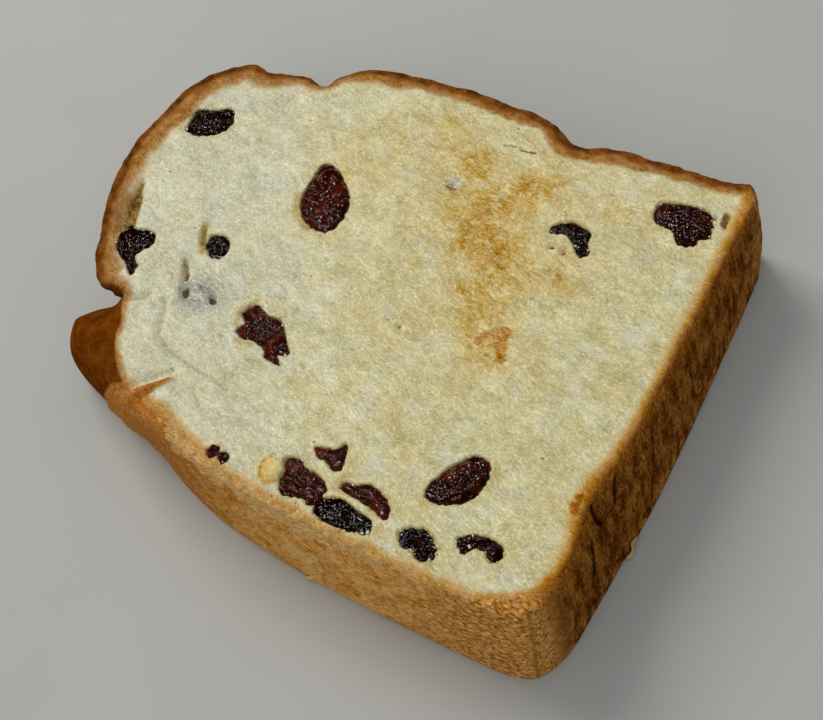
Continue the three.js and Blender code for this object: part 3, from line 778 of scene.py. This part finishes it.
# Painted shade: dark olive-brown down in the sunk pocket behind the right hump's crust and in narrow slits.
hollow = strokes(
    (1, 0.9, [(1.4, 61), (-3.5, 59.7)]), (1.3, 2.1, [(-3.8, 59.8), (-8, 58.2), (-10.4, 57.2)]),
    (0.9, 0.9, [(-4.4, 38.6), (-5.6, 38), (-7.6, 36.8)]), (0.7, 0.7, [(-13, 38.2), (-15.6, 36.2)]),
    (1.4, 0.8, [(44.4, -64.4), (42, -64.5)]))
# Painted shade along the seams of the cut face, where the grooves sink in.
crease = sum(seam(x, y, path, width * 0.8, 1) for path, width, _ in SEAMS[:4]) * on_top
blister = patches((1.2, (7, 5.4), (-48.4, -8), 0), sharp=1)
blister_rim = strokes(
    (0.8, 0.7, [(-45.6, -6.6), (-48, -5.6), (-50.6, -6.4), (-51.6, -8.4), (-50, -10.4)]))
crust_gap = patches((1.5, (8.5, 5), (-29.6, -65.4), 25), sharp=1) * (1 + 0.6 * waves(points, 1.6, 20))
# Painted shade: dark brown down in the slits, pits and holes of the cut face.
pits = strokes(
    (0.8, 0.4, [(44.2, -11.6), (44.9, -15.4)]), (1.1, 0.55, [(44.2, -16.2), (44.4, -19.6)]),
    (0.5, 0.35, [(46.2, -10.6), (47.2, -13.6)]), (0.4, 0.35, [(42, -14), (41.6, -18.6)]),
    (0.5, 0.4, [(48.7, 16.2), (49.8, 12.8)]), (1, 0.5, [(-15.4, 36.2), (-17.2, 35.4)]),
    (0.9, 0.5, [(28, -5.6), (28.3, -8.2)])) + patches(
    (1.1, (3.4, 2.4), (-20.1, 33.2), 30), (1.1, (2.6, 2), (-19.4, 26.4), 45),
    (0.8, (1.4, 1), (-17.4, 31), 0), (0.6, (1.2, 1), (-22.4, 29.4), 0), (1, (1.4, 1), (-8.7, -14.3), 20),
    (0.9, (1.8, 1.2), (22.3, -34.4), -60), (0.9, (1.7, 1.1), (22.1, -37.2), -100),
    (0.8, (1.2, 0.9), (24.1, -43.2), 0), (0.8, (1.2, 0.9), (20.1, -41.7), 0),
    (0.9, (1, 0.8), (8.8, -36.2), 0), (0.8, (1.6, 0.8), (-23.8, -54.7), -60),
    (0.7, (1, 0.8), (16.2, -64.3), 0), (0.8, (2.6, 1), (-51.9, 5.2), 70),
    (0.8, (1.8, 1.1), (42.9, -62.4), 60), (1.4, (2, 1.4), (-28.4, -65.4), 30),
    (1.4, (2, 1.4), (-30.6, -66.6), 0))
white = ease(0.9 * y - 0.45 * x + 6 * waves(points, 14.0, 17), -8, 32)
tongue = strokes((1.7, 1.9, [(-48.6, 28.6), (-45.4, 26.8)]),
                 (1.4, 1.1, [(-45.4, 26.8), (-42.6, 25), (-40.2, 23.2)]))
tongue += 0.15 * waves(points, 1.2, 19) * (tongue > 0.2)
# Painted shade down the cracks of the base crust.
cracked = sum(seam(x, z, path, width * 1.1, 1.3) for path, width, _ in CRACKS) * on_wall * base_side

# How far the bread is baked: below 0 on crumb, 1 where the brown crust begins, and more beyond.
wobble = 0.35 * waves(points, 1.6, 8) + 0.5 * waves(points, 6.0, 9)
wobble *= 1 - 0.7 * base_side
wobble -= 2.2 * ease(x + y, -108, -117)
bake = 1 - (inwards + wobble - brown[column]) / golden[column]
bake[below] = 1 - (inwards + wobble)[below] / 1.6
bake = np.maximum(np.clip(bake, -1, 3), np.maximum(tongue, crust_gap) * 2 - 1)
outer = ease(inwards + 0.6 * waves(points, 3.0, 18), 2.8, -0.8)

bread, bread_shader, wire = new_material("toasted_bread")
spot, mark = wire.place(), wire.mark
drift = spot.cloud(16, 2, 0.5, "Color")
drawn = spot.shifted(drift, 7.0).turned(GRAIN_TURN).squeezed(1.0, 0.42, 1.0)
strand = drawn.cloud(0.34, 4, 0.75)
fluff = drawn.cloud(1.1, 4, 0.64)
walls = drawn.shifted(spot.cloud(1.4, 2, 0.5, "Color"), 1.2).cells(0.9, "DISTANCE_TO_EDGE")
mottle = spot.cloud(7, 3, 0.6)
tuft = drawn.cloud(3.2, 2, 0.5)
# The crumb's fine grain: pale streaks, fluff and cell walls, which partly stand for painted glints of light.
light = strand.step(0.44, 0.72) * 0.5 + fluff * 0.7 + tuft * 0.48 + walls.step(0.2, 0.02) * 0.08
toasted = mark("toast")
net = spot.shifted(spot.cloud(2.2, 3, 0.6, "Color"), 2.8).turned(GRAIN_TURN).squeezed(1.0, 0.7, 1.0)
net = net.cells(1.5, "DISTANCE_TO_EDGE").step(0.45, 0.0)
web = spot.cloud(2.8, 3, 0.6)
browned = toasted * ((web - 0.5) * 2.4 + net * 0.5 + 1.0)
islands = spot.cloud(2.4, 2, 0.5).step(0.60, 0.72)
scorched = mark("scorch") + (web - 0.5) * 0.9 + net * 0.2
veil = mark("film") + (fluff - 0.5) * 2.4 - walls.step(0.15, 0.0) * 0.2
stained = mark("amber") + (fluff - 0.5) * 1.1
crumb = wire.blend(paint(212, 203, 158), paint(210, 206, 176), mark("white"))
for shade, share in [
    (paint(208, 186, 120), mottle.step(0.42, 0.66) * (1 - mark("white") * 0.6) * 0.45),
    (paint(222, 219, 202), mottle.step(0.46, 0.3) * 0.4),
    (paint(168, 156, 106), drawn.cloud(1, 2, 0.5).step(0.60, 0.74) * 0.45),
    (paint(206, 174, 94), browned.step(0.1, 1.0) * 0.9),
    (paint(188, 142, 58), browned.step(0.6, 1.3) * 0.75),
    (paint(222, 210, 166), islands * toasted.step(0.2, 0.6) * 0.7),
    (paint(178, 120, 28), scorched.step(0.35, 0.9) * 0.85),
    (paint(172, 170, 154), veil.step(0.3, 1.4) * 0.9),
    # amber raisin stains, partly painted shade in the pockets
    (paint(186, 158, 84), stained.step(0.3, 0.9) * 0.75),
    (paint(170, 120, 42), stained.step(0.75, 1.3) * 0.6),
    # olive painted shade along the seams
    (paint(158, 144, 92), (mark("crease") + (fluff - 0.5) * 1.8).step(0.4, 1.1) * 0.6),
    # dark olive-brown painted shade in the hollows
    (paint(134, 102, 44), (mark("hollow") + (fluff - 0.5) * 0.7).step(0.3, 0.9) * 0.85),
    (paint(222, 192, 112), (mark("blister") + (fluff - 0.5) * 1.2).step(0.3, 0.7) * 0.85),
    (paint(198, 144, 48), (mark("blister_rim") + (fluff - 0.5) * 1.2).step(0.3, 0.8) * 0.8),
]:
    crumb = crumb.over(shade, share)
# Painted glints: the fine grain lightens and darkens the crumb by an amount of pale light.
crumb = crumb.brighter((light - 0.69) * (toasted * 0.2 + mark("film") * 0.3 + 1.3))
crumb = crumb.over(paint(96, 80, 40), drawn.cells(5.5).step(0.06, 0.03) * 0.6)

high = wire.node("ShaderNodeSeparateXYZ", {}, {0: spot}, 2)
across = wire.node("ShaderNodeSeparateXYZ", {}, {0: spot}, 0)
bark = spot.shifted(drift, 1.6).squeezed(1.0, 1.0, 0.26).cloud(0.4, 4, 0.7)
bark_tone = spot.squeezed(1.0, 1.0, 0.4).cloud(2.6, 4, 0.62)
base_crust = wire.blend(paint(96, 50, 12), paint(160, 102, 40), bark_tone.step(0.36, 0.66))
base_crust = base_crust.over(paint(176, 108, 36), high.step(20.0, 27.0) * 0.6)
base_crust = base_crust.over(paint(184, 126, 60), high.step(9.0, 0.5) * bark_tone.step(0.35, 0.6) * 0.6)
base_crust = base_crust.over(paint(200, 146, 78), across.step(38.0, 58.0) * bark_tone.step(0.3, 0.6) * 0.7)
base_crust = base_crust.shaded((bark - 0.5) * 4.6 + 1.0)
# near black painted shade down the cracks
base_crust = base_crust.over(paint(36, 16, 4), (mark("cracked") + bark - 0.5).step(0.4, 1.0) * 0.9)
fleck = spot.shifted(drift, 1.6).squeezed(1.0, 0.4, 1.0).cloud(0.5, 4, 0.7)
tan = wire.blend(paint(190, 130, 58), paint(216, 164, 92), spot.cloud(4, 4, 0.6).step(0.35, 0.65))
tan = tan.over(paint(166, 104, 42), mark("ruddy") * 0.85)
lump = spot.shifted(spot.cloud(3, 2, 0.5, "Color"), 2.4).squeezed(1.0, 0.6, 1.0)
lump = lump.cells(1.5, "DISTANCE_TO_EDGE")
netted = wire.blend(paint(206, 150, 76), paint(134, 80, 26), lump.step(0.22, 0.0) * 0.8)
near_crust = tan.over(netted, mark("corner") * 0.8)
# Pale flecks and streaks on the near crust: partly its own flecks, partly painted sparkle.
near_crust = near_crust.brighter((fleck - 0.5) * (1.9 - mark("ruddy") * 1.0) + (strand - 0.5) * 0.7)
near_crust = near_crust.over(paint(242, 212, 158), fleck.step(0.58, 0.70) * 0.6)
ragged = mark("crumbly") + (fleck - 0.5) * 0.8 + (strand - 0.5) * 0.6
fibre = (strand * 0.6 + fleck * 0.5).step(0.42, 0.66)
fibres = wire.blend(paint(182, 132, 70), paint(228, 190, 128), fibre)
near_crust = near_crust.over(fibres, ragged.step(0.3, 0.8) * 0.85)
hump_tone = spot.squeezed(0.6, 0.6, 1.0).cloud(2.2, 4, 0.62)
hump_crust = wire.blend(paint(142, 88, 36), paint(182, 132, 72), hump_tone.step(0.36, 0.68))
dark_hump = wire.blend(paint(84, 42, 8), paint(140, 82, 30), hump_tone.step(0.34, 0.7))
hump_crust = hump_crust.over(dark_hump, (mark("outer") + (hump_tone - 0.5) * 0.8).step(0.1, 0.7))
hump_crust = hump_crust.shaded((strand - 0.5) * 1.6 + (fluff - 0.5) * 1.0 + 1.0)
shelf_crust = wire.blend(paint(88, 40, 4), paint(122, 66, 12), hump_tone.step(0.3, 0.75))
shelf_crust = shelf_crust.shaded(strand * 1.4 + 0.3)
shell = hump_crust.over(near_crust, mark("near_side"))
shell = shell.over(base_crust, mark("base_side")).over(shelf_crust, mark("shelf"))
baked = mark("bake") + (strand - 0.5) * 0.5 + (fluff - 0.5) * 0.8
pale_gold = wire.blend(paint(194, 160, 108), paint(214, 184, 126), mark("near_side"))
pale_gold = pale_gold.over(paint(212, 176, 104), mark("base_side"))
deep_gold = wire.blend(paint(168, 118, 62), paint(200, 152, 84), mark("near_side"))
deep_gold = deep_gold.over(paint(190, 126, 38), mark("base_side"))
# The golden edge gets the same painted glints.
gold = pale_gold.over(deep_gold, baked.step(0.2, 0.9)).brighter(light - 0.75)
colour = crumb.over(gold, baked.step(-0.1, 0.6) * 0.92)
# dark brown painted shade in the slits and pits
colour = colour.over(paint(60, 42, 16), (mark("pits") + (fluff - 0.5) * 1.2).step(0.35, 0.85) * 0.85)
colour = colour.over(shell, baked.step(0.85, 1.4))
crumb_bump = (strand * 0.6 + fluff).bump(0.6, 0.3)
crust_bump = (bark * mark("base_side") + fleck * (1 - mark("base_side")) * 0.6).bump(0.8, 0.3)
feed(bread_shader, Base_Color=colour, Roughness=0.9, Normal=crumb_bump, Specular_IOR_Level=0.0)
crust_shader = bread.node_tree.nodes.new("ShaderNodeBsdfPrincipled")
feed(crust_shader, Base_Color=colour, Roughness=0.6, Normal=crust_bump, Specular_IOR_Level=0.0)
both = [Wire(wire.tree, shader.outputs[0]) for shader in (bread_shader, crust_shader)]
joined = wire.node("ShaderNodeMixShader", {}, {0: baked.step(0.6, 1.3), 1: both[0], 2: both[1]})
wire.tree.links.new(joined.socket, bread.node_tree.nodes["Material Output"].inputs["Surface"])

new_piece("slice_crumb_and_crust", points, faces, bread, "bread", ["bread_slice"], bake=bake, outer=outer,
          base_side=base_side, near_side=near_side, shelf=shelf, corner=corner, crumbly=crumbly,
          ruddy=ruddy, cracked=cracked, toast=toast, scorch=scorch, film=film, amber=amber,
          hollow=hollow, crease=crease, blister=blister, blister_rim=blister_rim, pits=pits, white=white)

# ---- Loose crumbs ----------------------------------------
# Bits of crumb that the knife tore off, stuck to the raisins' edges, along the near shoulder and on
# the crust, and two thin flakes of crust at the foot.
CRUMB_COUNT = {1: 3, 2: 9, 3: 4, 5: 7, 6: 12, 7: 12, 9: 6, 10: 12, 11: 5, 13: 14, 14: 12, 15: 8}
SHOULDER_CRUMBS = 70

bits, bits_shader, wire = new_material("loose_crumb")
spot = wire.place()
bit_tone = spot.cloud(1.4, 3, 0.6)
tanned = (wire.mark("tan") + (bit_tone - 0.5) * 1.2).step(0.2, 0.9)
bit_colour = wire.blend(paint(226, 214, 172), paint(212, 168, 104), tanned)
feed(bits_shader, Base_Color=bit_colour, Roughness=0.9, Specular_IOR_Level=0.15)

ball = bmesh.new()
bmesh.ops.create_icosphere(ball, subdivisions=2, radius=1.0)
ball_points = np.array([tuple(v.co) for v in ball.verts])
ball_faces = np.array([[v.index for v in f.verts] for f in ball.faces])
ball.free()

places, sizes, tans = [], [], []
for number, count in CRUMB_COUNT.items():
    line = outlines[number - 1]
    for spot_on in line[shuffle.integers(0, len(line), count)]:
        at = spot_on + shuffle.uniform(-0.4, 0.4, 2)
        places.append((at[0], at[1], CUT + shuffle.uniform(-0.35, 0.05)))
        sizes.append(shuffle.uniform(0.1, 0.26))
        tans.append(shuffle.uniform(0, 0.4))
near_columns = np.flatnonzero((station > 39.6) & (station < 46.4))
for column_at in shuffle.choice(near_columns, SHOULDER_CRUMBS):
    at = crust_points[ROWS - 1 - shuffle.integers(0, 5), column_at]
    at = at + [*(-way_out[column_at] * shuffle.uniform(-0.1, 1.6)), 0.0]
    places.append((at[0], at[1], at[2] + shuffle.uniform(-0.12, 0.04)))
    sizes.append(shuffle.uniform(0.12, 0.3))
    tans.append(shuffle.uniform(0.3, 1.0))

bit_points, bit_faces, bit_tans = [], [], []
for number, (at, size, tan_share) in enumerate(zip(places, sizes, tans)):
    turn = Matrix.Rotation(shuffle.uniform(0, 6.28), 3, Vector(shuffle.normal(size=3)))
    shape = ball_points * shuffle.uniform(0.4, 1.5, 3)
    shape = shape * (1 + 0.45 * waves(ball_points, 0.9, number))[:, None]
    bit_faces.append(ball_faces + len(ball_points) * number)
    bit_points.append(size * shape @ np.array(turn).T + at)
    bit_tans.append(np.full(len(shape), tan_share))
# The flakes stand on edge against the foot: middle, half length, half height and turn.
for at, long, tall, turn in (((-23.0, -73.3, 1.5), 2.8, 1.9, 4), ((-57.7, -17.0, 1.0), 1.6, 1.3, 92)):
    bent = ball_points * (long, 0.35, tall)
    bent[:, 1] += 0.45 * np.sin(1.5 * bent[:, 0]) + 0.3 * waves(bent, 1.4, 5)
    bit_faces.append(ball_faces + len(ball_points) * len(bit_points))
    bit_points.append(bent @ np.array(Matrix.Rotation(math.radians(turn), 3, "Z")).T + at)
    bit_tans.append(np.full(len(bent), 0.8))
bit_points = np.concatenate(bit_points)
bit_points[:, 2] = np.maximum(bit_points[:, 2], 0.0)
new_piece("loose_crumbs", bit_points, np.concatenate(bit_faces), bits, "bread",
          tan=np.concatenate(bit_tans))

# ---- Floor, light and camera -----------------------------
# A plain pale floor under a big soft window light from behind, and a few small ceiling lamps. Only the
# lamps show as highlights on the raisins. The camera looks down on the near corner of the slice.
FLOOR = 6.0
floor_mesh = bpy.data.meshes.new("floor")
floor_mesh.from_pydata([(-FLOOR, -FLOOR, 0), (FLOOR, -FLOOR, 0), (FLOOR, FLOOR, 0), (-FLOOR, FLOOR, 0)],
                       [], [(0, 1, 2, 3)])
floor = bpy.data.objects.new("floor", floor_mesh)
bpy.context.scene.collection.objects.link(floor)
paper, paper_shader, wire = new_material("pale_floor")
faint = wire.place().cloud(40, 2)
pale = wire.blend(paint(182, 181, 176), paint(188, 187, 182), faint)
feed(paper_shader, Base_Color=pale, Roughness=0.8)
floor_mesh.materials.append(paper)

world = bpy.data.worlds.new("room")
world.use_nodes = True
world.node_tree.nodes["Background"].inputs["Color"].default_value = (0.88, 0.94, 1.0, 1.0)
world.node_tree.nodes["Background"].inputs["Strength"].default_value = 0.36
world.cycles_visibility.glossy = False
bpy.context.scene.world = world
bpy.context.scene.view_settings.view_transform = "Standard"


def lamp(name, place, size, watts, colour, shines=False, aim=(0, 0, 0.01)):
    """A square lamp in metres that points at the slice, and shows in gloss only if it shines."""
    light = bpy.data.lights.new(name, "AREA")
    light.size = size
    light.energy = watts
    light.color = colour
    obj = bpy.data.objects.new(name, light)
    obj.location = place
    obj.rotation_euler = (Vector(aim) - Vector(place)).to_track_quat("-Z", "Y").to_euler()
    obj.visible_glossy = shines
    obj.visible_diffuse = not shines
    bpy.context.scene.collection.objects.link(obj)


lamp("window", (0.25, 0.72, 0.85), 0.6, 7.6, (1.0, 0.98, 0.94))
lamp("fill", (-0.9, -0.1, 0.75), 0.7, 2.6, (1.0, 0.98, 0.95))
for k, place in enumerate([(0.1, 0.85, 0.9), (-0.3, 0.35, 1.1), (0.75, -0.1, 0.9), (0.45, 0.45, 1.0),
                           (-0.1, -0.1, 1.2)]):
    lamp(f"ceiling_{k}", place, 0.11, 0.9, (1, 1, 1), True)

EYE = Vector((-117.66, -111.38, 238.86)) * MM
ahead = Vector((0.4077, 0.3589, -0.8396)).normalized()
right = Vector((0.4851, -0.8641, -0.1338))
right = (right - ahead * right.dot(ahead)).normalized()
lens = bpy.data.cameras.new("camera")
lens.sensor_width = 36.0
lens.lens = 54.24
lens.clip_start = 0.01
camera = bpy.data.objects.new("camera", lens)
turn = Matrix((right, right.cross(ahead), -ahead)).transposed()
camera.matrix_world = Matrix.Translation(EYE) @ turn.to_4x4()
bpy.context.scene.collection.objects.link(camera)
bpy.context.scene.camera = camera
